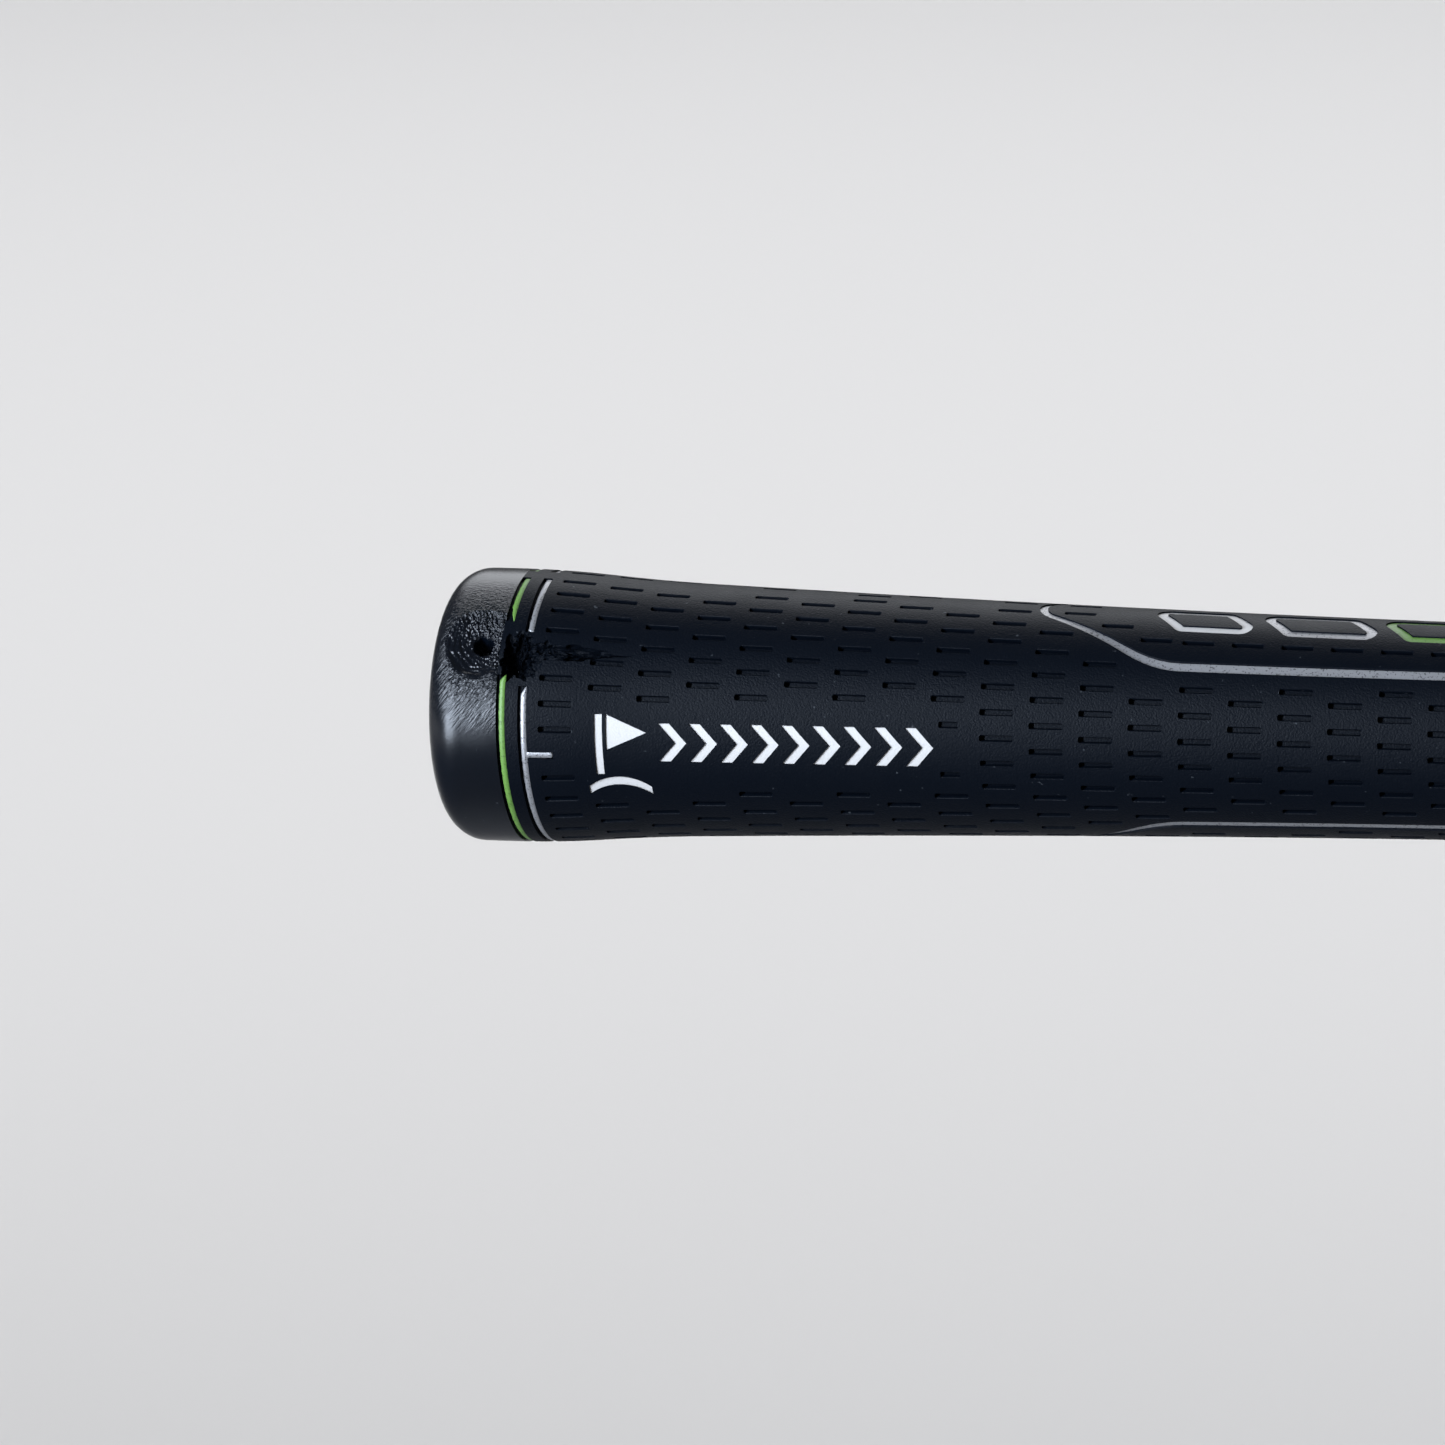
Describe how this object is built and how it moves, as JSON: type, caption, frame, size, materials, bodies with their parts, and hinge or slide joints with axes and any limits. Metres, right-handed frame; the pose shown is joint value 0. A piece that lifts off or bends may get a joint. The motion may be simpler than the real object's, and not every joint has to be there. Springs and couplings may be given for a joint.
{
  "type": "golf grip",
  "caption": "Round black rubber golf grip with a domed end cap, slotted tread, painted rings and marks, and a torn, scuffed patch near the butt.",
  "frame": {"origin": "middle of the seat where the butt of the club's shaft meets the end cap, on the grip's axis", "axes": "+X along the bore and out of the mouth, +Z towards the top of the grip, -Y towards the side with the emblem"},
  "size_m": [0.2667, 0.0274, 0.0274],
  "materials": {
    "sleeve_rubber": "matte moulded rubber with a fine grain",
    "cap_rubber": "semi-gloss moulded rubber, scuffed",
    "tape": "matte double-sided paper tape",
    "green_paint": "satin paint fill",
    "silver_paint": "satin metallic paint fill",
    "white_paint": "satin paint fill"
  },
  "bodies": {
    "root": {"grip_sleeve": "sleeve_rubber", "end_cap": "cap_rubber", "bonding_tape": "tape", "green_ring_upper": "green_paint", "green_ring_lower": "green_paint", "green_ring_back": "green_paint", "silver_ring_upper": "silver_paint", "silver_ring_lower": "silver_paint", "silver_ring_back": "silver_paint", "flag_pole": "white_paint", "flag_pennant": "white_paint", "flag_mound": "white_paint", "chevron_1": "white_paint", "chevron_2": "white_paint", "chevron_3": "white_paint", "chevron_4": "white_paint", "chevron_5": "white_paint", "chevron_6": "white_paint", "chevron_7": "white_paint", "chevron_8": "white_paint", "chevron_9": "white_paint", "top_panel_line": "silver_paint", "bottom_panel_line": "silver_paint", "panel_mark_white": "white_paint", "panel_mark_silver": "silver_paint", "panel_mark_green": "green_paint"}
  },
  "joints": []
}
